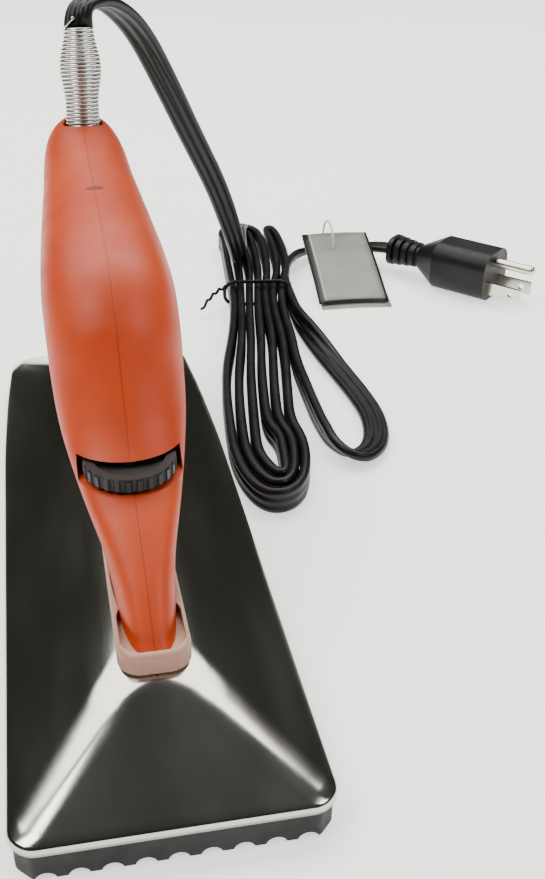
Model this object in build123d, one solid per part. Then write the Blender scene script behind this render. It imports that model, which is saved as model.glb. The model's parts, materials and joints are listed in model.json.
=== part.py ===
from build123d import *
import os
from math import cos, pi, radians, sin, tan

# Carpet seaming iron, in millimetres. X is across the sole, Y runs from the toe (-) to the heel (+), Z is up.
# The origin is the centre of the sole's footprint, on the surface that the iron stands on.

# Driving dimensions: sole and hood
BASE_LENGTH = 262.0
BASE_WIDTH = 82.5
CORNER_CHAMFER = 4.5
SOLE_INSET = 1.0
SOLE_TOP = 9.5
HOOD_CREASE = 12.0
HOOD_TOP = 30.0
HOOD_SHEET = 1.1
RIB_PITCH = 8.2
RIB_COUNT = 10
GROOVE_DEPTH = 2.0
GROOVE_WIDTH = 5.4

# Driving dimensions: handle
WALL = 2.6
FOOT_BOTTOM = 33.0
SECTION_STEPS = 8
COLLAR_TOP = 36.0
COLLAR_HALF_WIDTH = 9.9
COLLAR_TOE = -96.4
COLLAR_HEEL = -24.0

# Driving dimensions: thumbwheel and its spindle
WHEEL_Y = -43.5
WHEEL_RADIUS = 13.5
WHEEL_BOTTOM = 60.0
WHEEL_TOP = 64.2
WHEEL_GROOVES = 26
SLOT_HALF_WIDTH = 15.0
SLOT_BOTTOM = 59.1
SLOT_TOP = 65.0
SLOT_BACK_Y = -28.5
SPINDLE_RADIUS = 2.5
RUNNING_GAP = 0.05

# Driving dimensions: cord guard and cord
GUARD_FOOT = Vector(0, 89.5, 113)
GUARD_TIP = Vector(1.8, 97.5, 155.0)
GUARD_RADIUS = 6.2
GUARD_BORE = 4.0
GUARD_BULGE = 7.6
CORD_DIAMETER = 7.0
STRAND_Z = 5.2

# Plug, standing on its side of the floor, ground pin up
PLUG_START = Vector(168.0, 221.0, 12.6)
PLUG_DIRECTION = Vector(0.656, -0.755, 0).normalized()
PLUG_LENGTH = 60.0
BLADE_SPACING = 12.7
GROUND_OFFSET = 11.9

FRONT = -BASE_LENGTH / 2
REAR = BASE_LENGTH / 2
HALF = BASE_WIDTH / 2

# One station of the handle: front or top point, rear or bottom point (both y, z), half width.
HANDLE_STATIONS = [
    ((-93.0, FOOT_BOTTOM), (-27.0, FOOT_BOTTOM), 8.1),
    ((-79.5, 45.5), (-25.0, 43.0), 10.2),
    ((-67.0, 54.0), (-21.0, 52.0), 13.8),
    ((-55.0, 60.5), (-16.5, 60.0), 16.6),
    ((-43.0, 69.5), (-10.5, 67.0), 18.8),
    ((-33.5, 82.0), (-2.5, 73.5), 19.8),
    ((-26.0, 96.5), (6.0, 78.5), 20.2),
    ((-12.5, 107.5), (15.5, 81.5), 20.4),
    ((7.0, 113.0), (26.0, 83.0), 19.8),
    ((30.0, 116.0), (39.0, 84.0), 18.8),
    ((52.0, 118.4), (54.0, 85.8), 17.6),
    ((72.0, 121.4), (71.0, 88.6), 16.2),
    ((87.0, 124.4), (86.0, 92.4), 15.2),
    ((97.5, 125.0), (97.0, 96.0), 13.8),
    ((105.0, 122.6), (104.5, 101.0), 10.6),
]

os.makedirs("parts", exist_ok=True)


def save(node, shape):
    shape.label = node
    export_step(shape, f"parts/{node}.step")


def cylinder_along(start, end, radius):
    """A round bar from one point to another."""
    start, end = Vector(start), Vector(end)
    plane = Plane(origin=start, z_dir=end - start)
    return extrude(plane * Circle(radius), (end - start).length)


def ring_along(start, end, outer, inner):
    return cylinder_along(start, end, outer) - cylinder_along(start, end, inner)


def block(low, high):
    size = [b - a for a, b in zip(low, high)]
    middle = [(a + b) / 2 for a, b in zip(low, high)]
    return Pos(*middle) * Box(*size)


def mirrored_outline(right_side, z):
    """A closed face at height z from the points of its +X half, toe to heel."""
    left_side = [(-x, y) for x, y in reversed(right_side) if x > 0.01]
    points = [Vector(x, y, z) for x, y in right_side + left_side]
    return make_face(Polyline(*points, close=True))


def plan_outline(inset):
    """The +X half of the sole's plan, moved in by inset."""
    half = HALF - inset
    return [
        (half - CORNER_CHAMFER, FRONT + inset),
        (half, FRONT + CORNER_CHAMFER + inset),
        (half, 50.0),
        (half - 1.2, 90.0),
        (half - 3.2, REAR - 11.0),
        (half - 8.5, REAR - 2.2 - inset),
        (0.0, REAR - inset),
    ]


def roof_outline(inset):
    """The +X half of the hood's flat top, point for point with the plan."""
    half = COLLAR_HALF_WIDTH + 0.6 - inset
    return [
        (half - 4.5, COLLAR_TOE - 0.8 + inset),
        (half - 1.0, COLLAR_TOE + 8.5),
        (half, -20.0),
        (half, 40.0),
        (half - 0.8, 70.0),
        (half - 3.4, 82.0 - inset),
        (0.0, 84.0 - inset),
    ]


# --- sole plate and what is screwed to it -------------------------------------------------------------------

POST_BOLT_Y = (-76.0, -57.0)
ELEMENT_X = 19.5
ELEMENT_RADIUS = 3.3
ELEMENT_Z = 10.2
ELEMENT_TOE = -92.0
ELEMENT_HEEL = 98.0
SADDLE_Y = (-68.0, -2.0, 60.0)
SADDLE_HALF_WIDTH = 10.0
SADDLE_SCREW_OFFSET = 6.8
HOOD_SCREW_Y = 70.0
WIRE_HOLE_Y = -35.4
CONDUCTOR_X = (-5.4, 0.0, 5.4)


def element_path(z):
    """The heating tube's U: along one side, round the heel, back along the other side."""
    bend = ELEMENT_X
    return FilletPolyline(
        (-ELEMENT_X, ELEMENT_TOE, z),
        (-ELEMENT_X, ELEMENT_HEEL, z),
        (ELEMENT_X, ELEMENT_HEEL, z),
        (ELEMENT_X, ELEMENT_TOE, z),
        radius=bend * 0.9,
    )


def tube_on(path, radius):
    plane = Plane(origin=path @ 0, z_dir=path % 0)
    return sweep(plane * Circle(radius), path=path)


def sole_plate():
    face = mirrored_outline(plan_outline(SOLE_INSET), 0)
    body = extrude(face, SOLE_TOP)
    upright = body.edges().filter_by(Axis.Z)
    body = fillet(upright, 3.0)
    groove_radius = (GROOVE_WIDTH**2 / 4 + GROOVE_DEPTH**2) / (2 * GROOVE_DEPTH)
    first = -(RIB_COUNT - 2) / 2 * RIB_PITCH
    for index in range(RIB_COUNT - 1):
        x = first + index * RIB_PITCH
        z = GROOVE_DEPTH - groove_radius
        body -= cylinder_along((x, FRONT - 1, z), (x, REAR + 1, z), groove_radius)
    body -= tube_on(element_path(ELEMENT_Z), ELEMENT_RADIUS + 0.1)
    for side in (-1, 1):
        x = side * ELEMENT_X
        body -= cylinder_along((x, ELEMENT_TOE - 12, ELEMENT_Z), (x, ELEMENT_TOE + 1, ELEMENT_Z), ELEMENT_RADIUS + 0.1)
    for y in POST_BOLT_Y:
        body -= cylinder_along((0, y, 4.0), (0, y, SOLE_TOP + 1), 2.52)
    body -= cylinder_along((0, HOOD_SCREW_Y, -1), (0, HOOD_SCREW_Y, SOLE_TOP + 1), 2.3)
    body -= cylinder_along((0, HOOD_SCREW_Y, -1), (0, HOOD_SCREW_Y, 5.0), 4.4)
    for side in (-1, 1):
        for y in SADDLE_Y:
            for offset in (-SADDLE_SCREW_OFFSET, SADDLE_SCREW_OFFSET):
                x = side * ELEMENT_X + offset
                body -= cylinder_along((x, y, 4.5), (x, y, SOLE_TOP + 1), 1.82)
    return body


def heating_element():
    return tube_on(element_path(ELEMENT_Z), ELEMENT_RADIUS)


def element_terminals():
    pins = []
    for side in (-1, 1):
        pins.append(cylinder_along((side * ELEMENT_X, ELEMENT_TOE, ELEMENT_Z),
                                   (side * ELEMENT_X, ELEMENT_TOE - 9, ELEMENT_Z), 1.0))
    return Compound(pins)


def terminal_insulators():
    beads = []
    for side in (-1, 1):
        beads.append(ring_along((side * ELEMENT_X, ELEMENT_TOE - 0.05, ELEMENT_Z),
                                (side * ELEMENT_X, ELEMENT_TOE - 5, ELEMENT_Z), 2.6, 1.02))
    return Compound(beads)


def element_saddles():
    saddles = []
    for side in (-1, 1):
        for y in SADDLE_Y:
            x = side * ELEMENT_X
            saddle = block((x - SADDLE_HALF_WIDTH, y - 5, SOLE_TOP), (x + SADDLE_HALF_WIDTH, y + 5, 14.6))
            saddle -= cylinder_along((x, y - 6, ELEMENT_Z), (x, y + 6, ELEMENT_Z), ELEMENT_RADIUS + 0.02)
            saddle -= block((x - 3.32, y - 6, SOLE_TOP - 1), (x + 3.32, y + 6, ELEMENT_Z))
            for offset in (-SADDLE_SCREW_OFFSET, SADDLE_SCREW_OFFSET):
                saddle -= cylinder_along((x + offset, y, 9), (x + offset, y, 15), 1.9)
            saddles.append(saddle)
    return Compound(saddles)


def element_saddle_screws():
    screws = []
    for side in (-1, 1):
        for y in SADDLE_Y:
            for offset in (-SADDLE_SCREW_OFFSET, SADDLE_SCREW_OFFSET):
                x = side * ELEMENT_X + offset
                head = cylinder_along((x, y, 14.65), (x, y, 16.4), 2.9)
                screws.append(head + cylinder_along((x, y, 5.0), (x, y, 14.7), 1.8))
    return Compound(screws)


def post_spacers():
    spacers = []
    for y in POST_BOLT_Y:
        spacers.append(ring_along((0, y, SOLE_TOP), (0, y, HOOD_TOP - HOOD_SHEET), 4.6, 2.7))
    return Compound(spacers)


def post_bolts():
    bolts = []
    for y in POST_BOLT_Y:
        head = cylinder_along((0, y, 32.0), (0, y, 35.5), 3.5)
        socket = cylinder_along((0, y, 33.8), (0, y, 36), 1.6)
        bolts.append(head + cylinder_along((0, y, 4.6), (0, y, 32.1), 2.5) - socket)
    return Compound(bolts)


def heat_shield():
    """Folded sheet over the element's rear part; its two legs stand on the sole."""
    sheet = block((-20.5, 2, 17.2), (20.5, 92, 18.0))
    for side in (-1, 1):
        x = side * 10.0
        sheet += block((x - 0.4, 8, SOLE_TOP), (x + 0.4, 44, 17.3))
    sheet -= cylinder_along((0, HOOD_SCREW_Y, 16), (0, HOOD_SCREW_Y, 19), 8.0)
    return sheet


def insulation_blanket():
    pad = block((-19, 4, 18.05), (19, 90, 22.6))
    pad = fillet(pad.edges().filter_by(Axis.Z), 4)
    return pad - cylinder_along((0, HOOD_SCREW_Y, 16), (0, HOOD_SCREW_Y, 24), 8.0)


# --- hood ---------------------------------------------------------------------------------------------------

def frustum(inset, bottom, crease, top):
    """Lip, then straight slopes up to the flat roof."""
    low = mirrored_outline(plan_outline(inset), bottom)
    lip = extrude(low, crease - bottom)
    eaves = mirrored_outline(plan_outline(inset), crease)
    roof = mirrored_outline(roof_outline(inset), top)
    return lip, loft([eaves, roof], ruled=True)


def hood():
    lip, slopes = frustum(0, SOLE_TOP, HOOD_CREASE, HOOD_TOP)
    outer = lip + slopes
    inner_lip, inner_slopes = frustum(HOOD_SHEET, SOLE_TOP - 1, HOOD_CREASE - 0.3, HOOD_TOP - HOOD_SHEET)
    shell = outer - (inner_lip + inner_slopes)
    for y in POST_BOLT_Y:
        shell -= cylinder_along((0, y, 20), (0, y, 31), 2.7)
    shell -= cylinder_along((0, WHEEL_Y, 20), (0, WHEEL_Y, 31), 4.6)
    shell -= block((-3.2, WIRE_HOLE_Y - 1.4, 20), (3.2, WIRE_HOLE_Y + 1.4, 31))
    return shell


def hood_screw():
    head = cylinder_along((0, HOOD_SCREW_Y, 2.6), (0, HOOD_SCREW_Y, 5.0), 4.2)
    shaft = cylinder_along((0, HOOD_SCREW_Y, 4.9), (0, HOOD_SCREW_Y, 27.5), 2.0)
    return head + shaft - block((-4.5, HOOD_SCREW_Y - 0.5, 2.5), (4.5, HOOD_SCREW_Y + 0.5, 3.6))


def hood_nut_plate():
    """A strap under the roof with a clinched nut for the hood's screw."""
    plate = block((-6.5, HOOD_SCREW_Y - 8, 27.3), (6.5, HOOD_SCREW_Y + 7, HOOD_TOP - HOOD_SHEET - 0.02))
    plate += cylinder_along((0, HOOD_SCREW_Y, 23.4), (0, HOOD_SCREW_Y, 27.4), 4.0)
    return plate - cylinder_along((0, HOOD_SCREW_Y, 23), (0, HOOD_SCREW_Y, 27.6), 2.02)


# --- handle -------------------------------------------------------------------------------------------------

def station_wire(station, inset):
    """The +X half of a rounded cross-section, closed along the parting plane."""
    (front_y, front_z), (back_y, back_z), half_width = station
    front = Vector(0, front_y, front_z)
    back = Vector(0, back_y, back_z)
    across = (front - back).normalized()
    front = front - across * inset
    back = back + across * inset
    middle = (front + back) * 0.5
    half_depth = (front - back).length / 2
    points = [back]
    for index in range(1, SECTION_STEPS):
        angle = pi * index / SECTION_STEPS - pi / 2
        points.append(middle + Vector(cos(angle) * (half_width - inset), 0, 0) + across * sin(angle) * half_depth)
    points.append(front)
    curve = Spline(*points, tangents=[(1, 0, 0), (-1, 0, 0)])
    return Wire([curve, Line(front, back)])


def half_loft(stations, inset):
    """The +X half of a body through the stations; every section is moved in by inset."""
    return Part() + Solid.make_loft([station_wire(station, inset) for station in stations])


def foot_face(station):
    """A level cross-section of the handle's foot, both sides in one closed curve."""
    (front_y, level), (back_y, _), half_width = station
    middle, half_depth = (front_y + back_y) / 2, (back_y - front_y) / 2
    points = []
    for index in range(2 * SECTION_STEPS):
        angle = pi * index / SECTION_STEPS
        points.append(Vector(cos(angle) * half_width, middle - sin(angle) * half_depth, level))
    return make_face(Spline(*points, periodic=True))


HANDLE_SCREWS = ((-66.0, 40.5), (-4.0, 96.0), (48.0, 96.0), (76.0, 97.0))
SCREW_HEAD_X = (6.3, 12.0, 12.0, 10.0)
BOSS_START_X = (4.42, 0.0, 0.0, 0.0)


def screw_bosses(outer):
    """The lowest pair clamps the bracket's ears; the others meet at the parting plane."""
    bosses = Part()
    for (y, z), start in zip(HANDLE_SCREWS, BOSS_START_X):
        bosses += cylinder_along((start, y, z), (24, y, z), 4.6) & outer
    return bosses


def guard_point(along):
    """A point on the cord guard's axis, measured up from its foot."""
    direction = (GUARD_TIP - GUARD_FOOT).normalized()
    return GUARD_FOOT + direction * along


def guard_recess():
    """The U-shaped recess for the cord guard, open at the top and the rear of the grip."""
    half = GUARD_RADIUS + 0.5
    low, high = guard_point(0), guard_point(30)
    channel = cylinder_along(low, high, half)
    direction = (high - low).normalized()
    plane = Plane(origin=low, x_dir=(1, 0, 0), z_dir=direction)
    slab = plane * (Pos(0, 14, 15) * Box(2 * half, 28, 30))
    return channel + slab


def wheel_pocket():
    return block((-SLOT_HALF_WIDTH, -80, SLOT_BOTTOM), (SLOT_HALF_WIDTH, SLOT_BACK_Y, SLOT_TOP))


def handle_half(outer, inner):
    """The +X half shell with its pocket walls and bosses, but no screw holes."""
    pocket_walls = block((0, -80, SLOT_BOTTOM - 2.2), (SLOT_HALF_WIDTH + 2, SLOT_BACK_Y + 2, SLOT_TOP + 2.2))
    recess_walls = block((0, 80, 110.8), (GUARD_RADIUS + 3, 108, 130))
    wall = (outer - inner) + (pocket_walls & outer) + (recess_walls & outer)
    wall -= wheel_pocket()
    wall -= guard_recess()
    wall -= cylinder_along((0, WHEEL_Y, 50), (0, WHEEL_Y, SLOT_TOP - 1), SPINDLE_RADIUS + RUNNING_GAP)
    wall -= cylinder_along(guard_point(-8), guard_point(1), CORD_DIAMETER / 2 + 0.3)
    shell = wall + screw_bosses(outer)
    return shell - block((-2.6, 33.6, 115.2), (2.6, 35.6, 119))


def handle_right_shell(half):
    """Takes the screws' heads."""
    for (y, z), head_x in zip(HANDLE_SCREWS, SCREW_HEAD_X):
        half -= cylinder_along((0, y, z), (24, y, z), 1.9)
        half -= cylinder_along((head_x, y, z), (24, y, z), 3.5)
    return largest_solid(half)


def handle_left_shell(half):
    """The other half, with blind holes for the screws' threads."""
    shell = mirror(half, about=Plane.YZ)
    for y, z in HANDLE_SCREWS:
        shell -= cylinder_along((0, y, z), (-8.5, y, z), 1.72)
    return largest_solid(shell)


def largest_solid(shape):
    return max(shape.solids(), key=lambda solid: solid.volume)


def handle_screws():
    screws = []
    for (y, z), head_x in zip(HANDLE_SCREWS, SCREW_HEAD_X):
        head = cylinder_along((head_x, y, z), (head_x + 2.2, y, z), 3.3)
        shaft = cylinder_along((-8.0, y, z), (head_x + 0.1, y, z), 1.7)
        cross = block((head_x + 1.2, y - 0.5, z - 2.2), (head_x + 3, y + 0.5, z + 2.2))
        cross += block((head_x + 1.2, y - 2.2, z - 0.5), (head_x + 3, y + 2.2, z + 0.5))
        screws.append(head + shaft - cross)
    return Compound(screws)


def lens_collar():
    """A translucent ring between the hood's roof and the handle's foot."""
    def rounded(half, toe, heel, bottom, top, radius):
        plan = Pos(0, (toe + heel) / 2, bottom) * RectangleRounded(2 * half, heel - toe, radius)
        return extrude(plan, top - bottom)
    outer = rounded(COLLAR_HALF_WIDTH, COLLAR_TOE, COLLAR_HEEL, HOOD_TOP, COLLAR_TOP, 6.5)
    outer = fillet(outer.edges().group_by(Axis.Z)[-1], 1.6)
    ledge = rounded(5.8, -89.0, -31.0, HOOD_TOP - 1, FOOT_BOTTOM + 1, 4.0)
    seat = ((-94.4, FOOT_BOTTOM), (-26.0, FOOT_BOTTOM), 8.8)
    upper = ((-93.2, COLLAR_TOP + 1), (-25.4, COLLAR_TOP + 1), 9.1)
    toe_seat = rounded(8.8, -94.4, -74.0, FOOT_BOTTOM, COLLAR_TOP + 1, 5.4)
    return outer - ledge - loft([foot_face(seat), foot_face(upper)], ruled=True) - toe_seat


def mounting_bracket():
    """Steel foot on the hood's roof; its upright takes the lowest handle screw."""
    plate = block((-4.8, -83, HOOD_TOP), (4.8, WHEEL_Y + 5.5, 32.0))
    ear_y, ear_z = HANDLE_SCREWS[0]
    ears = block((-4.4, ear_y - 4.5, 32.0), (4.4, ear_y + 4.5, ear_z + 4.5))
    ears -= block((-2.6, ear_y - 5, 32.0), (2.6, ear_y + 5, ear_z + 5))
    bracket = plate + ears
    for y in POST_BOLT_Y:
        bracket -= cylinder_along((0, y, 29), (0, y, 33), 2.6)
    bracket -= cylinder_along((0, WHEEL_Y, 29), (0, WHEEL_Y, 33), 3.6)
    return bracket - cylinder_along((-9, ear_y, ear_z), (9, ear_y, ear_z), 2.0)


# --- thermostat and thumbwheel ------------------------------------------------------------------------------

STACK_Y = -27.0
CONTACT_Y = -47.0


def spindle_bush():
    bush = cylinder_along((0, WHEEL_Y, HOOD_TOP - 1.0), (0, WHEEL_Y, 32.0), 3.55)
    bush += cylinder_along((0, WHEEL_Y, 32.0), (0, WHEEL_Y, 33.4), 4.4)
    return bush - cylinder_along((0, WHEEL_Y, 28), (0, WHEEL_Y, 34), SPINDLE_RADIUS + RUNNING_GAP)


def thermostat_frame():
    """A steel U on the sole: base, upright and a top plate that the spindle screws through."""
    front = WHEEL_Y - 8.5
    frame = block((-9, front, SOLE_TOP), (9, STACK_Y + 6, 11.0))
    frame += block((-9, front, 10.9), (9, front + 1.5, 25.0))
    frame += block((-9, front, 23.5), (9, WHEEL_Y + 7, 25.0))
    frame -= cylinder_along((0, WHEEL_Y, 23), (0, WHEEL_Y, 26), 3.06)
    frame -= cylinder_along((0, STACK_Y, 9), (0, STACK_Y, 12), 1.62)
    tab = ring_along((0, WHEEL_Y, 25.0), (0, WHEEL_Y, 27.2), 7.0, 4.6)
    wedge = block((-1.6, WHEEL_Y + 3, 24.9), (1.6, WHEEL_Y + 8, 27.2))
    return frame + (tab & wedge)


def ceramic_stack():
    body = None
    for low, high in ((11.0, 12.6), (13.1, 15.4), (15.9, 18.8), (19.3, 21.5)):
        ring = ring_along((0, STACK_Y, low), (0, STACK_Y, high), 5.0, 1.62)
        body = [ring] if body is None else body + [ring]
    return Compound(body)


def stack_rivet():
    rivet = cylinder_along((0, STACK_Y, SOLE_TOP), (0, STACK_Y, 21.5), 1.6)
    return rivet + cylinder_along((0, STACK_Y, 21.5), (0, STACK_Y, 22.6), 3.2)


def blade(low, high, toe_y):
    strip = block((-3.5, toe_y, low), (3.5, STACK_Y + 5, high))
    return strip - cylinder_along((0, STACK_Y, low - 1), (0, STACK_Y, high + 1), 1.62)


def contact_rivets():
    lower = cylinder_along((0, CONTACT_Y, 15.9), (0, CONTACT_Y, 17.2), 2.0)
    upper = cylinder_along((0, CONTACT_Y, 17.25), (0, CONTACT_Y, 18.8), 2.0)
    return Compound([lower, upper])


def spindle_tip():
    return cylinder_along((0, WHEEL_Y, 19.4), (0, WHEEL_Y, 21.2), 1.8)


def control_spindle():
    spindle = cylinder_along((0, WHEEL_Y, 21.2), (0, WHEEL_Y, 28.0), 3.0)
    return spindle + cylinder_along((0, WHEEL_Y, 27.9), (0, WHEEL_Y, SLOT_TOP - 0.08), SPINDLE_RADIUS)


def stop_collar():
    """A ring on the spindle with the lug that meets the frame's tab at each end of the dial's travel."""
    ring = ring_along((0, WHEEL_Y, 25.2), (0, WHEEL_Y, 27.0), 4.4, 3.0)
    lug = block((-1.6, WHEEL_Y + 3.6, 25.2), (1.6, WHEEL_Y + 6.8, 27.0))
    turned = Rot(0, 0, -LUG_REST_DEG) * (Pos(0, -WHEEL_Y, 0) * lug)
    return ring + Pos(0, WHEEL_Y, 0) * turned


LUG_REST_DEG = 45.0


def thumbwheel():
    wheel = cylinder_along((0, WHEEL_Y, WHEEL_BOTTOM), (0, WHEEL_Y, WHEEL_TOP), WHEEL_RADIUS)
    wheel = chamfer(wheel.edges().filter_by(GeomType.CIRCLE), 0.5)
    for index in range(WHEEL_GROOVES):
        angle = 2 * pi * index / WHEEL_GROOVES
        x = (WHEEL_RADIUS + 0.15) * sin(angle)
        y = WHEEL_Y + (WHEEL_RADIUS + 0.15) * cos(angle)
        wheel -= cylinder_along((x, y, WHEEL_BOTTOM - 1), (x, y, WHEEL_TOP + 1), 0.95)
    wheel -= ring_along((0, WHEEL_Y, WHEEL_TOP - 0.9), (0, WHEEL_Y, WHEEL_TOP + 1), 10.4, 5.0)
    return wheel - cylinder_along((0, WHEEL_Y, 55), (0, WHEEL_Y, 70), SPINDLE_RADIUS)


def friction_washer():
    return ring_along((0, WHEEL_Y, SLOT_BOTTOM), (0, WHEEL_Y, WHEEL_BOTTOM), 5.0, SPINDLE_RADIUS + 0.1)


def retaining_clip():
    return ring_along((0, WHEEL_Y, WHEEL_TOP + 0.05), (0, WHEEL_Y, WHEEL_TOP + 0.65), 4.4, SPINDLE_RADIUS)


# --- electrical parts inside --------------------------------------------------------------------------------

def neon_lamp():
    return fillet(cylinder_along((0, -76.8, 38.0), (0, -70.8, 38.0), 2.2).edges(), 0.8)


def lamp_resistor():
    body = cylinder_along((0, -58.5, 40.0), (0, -51.5, 40.0), 1.3)
    return fillet(body.edges(), 0.4)


def terminal_block():
    body = block((-8.5, 12, 92), (8.5, 26, 102))
    for x in CONDUCTOR_X:
        body -= cylinder_along((x, 19, 95), (x, 19, 103), 1.9)
        body -= cylinder_along((x, 11, 96.5), (x, 27, 96.5), 1.0)
    return body


def terminal_screws():
    return Compound([cylinder_along((x, 19, 97.5), (x, 19, 101.6), 1.85) for x in CONDUCTOR_X])


def wire_along(points, radius):
    return tube_on(FilletPolyline(*points, radius=radius), 0.9)


def conductor(x):
    """One of the cord's conductors, from the lead's end to the terminal block."""
    inner_x = Vector(x / 2.8, 0, 0)
    return wire_along([guard_point(-8.15) + inner_x, guard_point(-11.65) + inner_x, (x / 2, 76.0, 103.6),
                       (x, 60.0, 103.6), (x, 42.0, 103.4), (x, 30.5, 96.5), (x, 21.2, 96.5)], 2.5)


def stem_lead(x):
    """From the terminal block down the post and through the hood's wire hole."""
    low_x = x / 2.8
    return wire_along([(x, 16.8, 96.5), (x, 9.0, 96.5), (x, -1.5, 87.5), (low_x, -10.0, 78.5), (low_x, -20.8, 63.0),
                       (low_x, -28.0, 50.0), (low_x, -33.6, 40.5), (low_x, WIRE_HOLE_Y, 31.0), (low_x, -33.8, 24.2)],
                      5.0)


def cord_clamp():
    """A block pressed round the lead just under the floor of the guard's recess."""
    bar = block((-8, 82.5, 106.6), (8, 94.0, 110.6))
    bar = fillet(bar.edges().filter_by(Axis.Z), 1.5)
    return bar - cylinder_along(guard_point(-9), guard_point(1), CORD_DIAMETER / 2)


def inner_lead():
    """The cord's end inside the handle, up through the guard to its tip."""
    return cylinder_along(guard_point(-8), GUARD_TIP, CORD_DIAMETER / 2)


def cord_guard_spring():
    """The coil guard's envelope: a straight tube that swells to a bead below its tip."""
    length = (GUARD_TIP - GUARD_FOOT).length
    outline = [
        (GUARD_BORE, 0),
        (GUARD_RADIUS, 0),
        (GUARD_RADIUS, length - 17),
        (GUARD_BULGE - 0.5, length - 14.0),
        (GUARD_BULGE, length - 11.5),
        (GUARD_BULGE - 0.5, length - 9.0),
        (GUARD_RADIUS - 0.3, length - 5.5),
        (GUARD_RADIUS - 1.4, length),
        (GUARD_BORE, length),
    ]
    profile = make_face(Polyline(*[(r, 0, z) for r, z in outline], close=True))
    body = revolve(profile, Axis.Z)
    plane = Plane(origin=GUARD_FOOT, z_dir=GUARD_TIP - GUARD_FOOT)
    return plane.location * body


# --- the cord and what is on it -----------------------------------------------------------------------------

CORD_RUN = [
    (1.8, 97.5, 155.0),
    (2.0, 98.5, 160.2),
    (6.0, 102.6, 162.4),
    (14.5, 113.2, 160.2),
    (26.0, 128.5, 147.5),
    (38.0, 143.0, 123.0),
    (50.0, 157.0, 97.0),
    (63.0, 172.0, 70.0),
    (73.0, 185.0, 42.0),
    (80.0, 205.0, 21.0),
    (84.0, 228.0, 16.5),
]

CORD_LOOP = [
    (99.5, 163.0, STRAND_Z),
    (101.5, 142.0, STRAND_Z),
    (105.0, 112.0, STRAND_Z),
    (108.5, 84.0, STRAND_Z),
    (109.0, 62.0, STRAND_Z),
    (103.0, 42.0, STRAND_Z),
    (90.5, 34.0, STRAND_Z),
    (79.5, 41.0, STRAND_Z),
]

CORD_LEAD = [
    (121.0, 246.5, STRAND_Z),
    (135.0, 247.5, STRAND_Z),
    (150.0, 241.0, STRAND_Z + 1),
    (PLUG_START.X, PLUG_START.Y, PLUG_START.Z),
]


def arc_radii(points):
    """Each corner's radius: 0.45 of its shorter run over the tangent of half its turn."""
    radii = []
    vectors = [Vector(*point) for point in points]
    for before, corner, after in zip(vectors, vectors[1:], vectors[2:]):
        arriving, leaving = corner - before, after - corner
        turn = arriving.get_angle(leaving)
        shorter = min(arriving.length, leaving.length)
        radii.append(0.45 * shorter / tan(radians(turn) / 2))
    return radii


def cord_tube(name, points):
    radii = arc_radii(points)
    path = FilletPolyline(*points, radius=radii)
    tube = tube_on(path, CORD_DIAMETER / 2)
    expected = pi * CORD_DIAMETER**2 / 4 * path.length
    print(name, "length", round(path.length, 1), "radii", [round(r) for r in radii],
          "volume ratio", round(tube.volume / expected, 3))
    return tube


HANK_LEFT = [(84, 291), (79, 258), (75, 218), (71, 184), (63, 145), (54, 112), (48, 78), (44, 44), (45, 9)]
HANK_RIGHT = [(64, 9), (76, 40), (83, 78), (90, 112), (96, 145), (100, 184), (116, 218), (122, 258), (112, 291)]


def cord_hank():
    """The tied bundle: strands on edge, side by side, fanned out at both ends."""
    left = [Vector(x, y, 0.2) for x, y in HANK_LEFT]
    right = [Vector(x, y, 0.2) for x, y in HANK_RIGHT]
    sides = Spline(*left), Spline(*right)
    ends = Line(left[-1], right[0]), Line(right[-1], left[0])
    face = make_face([sides[0], ends[0], sides[1], ends[1]])
    return extrude(face, 12.3, dir=(0, 0, 1))


def cord_tie():
    """A wire loop pulled round the bundle, with a twisted tail."""
    place = Pos(86.0, 190, 7.2) * Rot(0, 0, -9) * Rot(90, 0, 0)
    loop = (place * RectangleRounded(33, 12.4, 5.5)).wires()[0]
    return tube_on(loop, 0.9)


def cord_tag():
    """A folded card, its upper edge on the lead and its lower edge on the floor."""
    return Pos(137.5, 209.5, 8.6) * Rot(12.5, 0, -5.5) * Box(36, 66, 0.9)


def tag_strap():
    """A cord-sized loop through the card's top edge and round the lead."""
    return Pos(136, 237.5, 13.6) * Rot(0, 90, 8) * Torus(10.6, 0.6)


def plug_frame(along):
    """A plane across the plug's axis: its x is level, its y is up."""
    side = Vector(-PLUG_DIRECTION.Y, PLUG_DIRECTION.X, 0)
    return Plane(origin=PLUG_START + PLUG_DIRECTION * along, x_dir=side, z_dir=PLUG_DIRECTION)


def plug_strain_relief():
    parts = extrude(plug_frame(0) * RectangleRounded(11.0, 10.4, 4.0), 17.9)
    for index in range(4):
        size = 15.6 - index * 0.8
        parts += extrude(plug_frame(0.2 + index * 4.3) * RectangleRounded(size, size - 1.0, 5.0), 2.7)
    return parts


def plug_body():
    start = plug_frame(17.9) * RectangleRounded(13.0, 12.0, 5.0)
    swell = plug_frame(30.0) * RectangleRounded(26.0, 24.4, 8.0)
    face = plug_frame(PLUG_LENGTH) * RectangleRounded(26.0, 24.4, 8.0)
    body = loft([start, swell], ruled=True) + loft([swell, face], ruled=True)
    for x in (-BLADE_SPACING / 2, BLADE_SPACING / 2):
        body -= extrude(plug_frame(PLUG_LENGTH - 8) * (Pos(x, -GROUND_OFFSET / 2 + 0.5) * Rectangle(1.56, 6.4)), 9)
    return body - extrude(plug_frame(PLUG_LENGTH - 8) * (Pos(0, GROUND_OFFSET / 2 + 0.5) * Circle(2.4)), 9)


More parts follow.
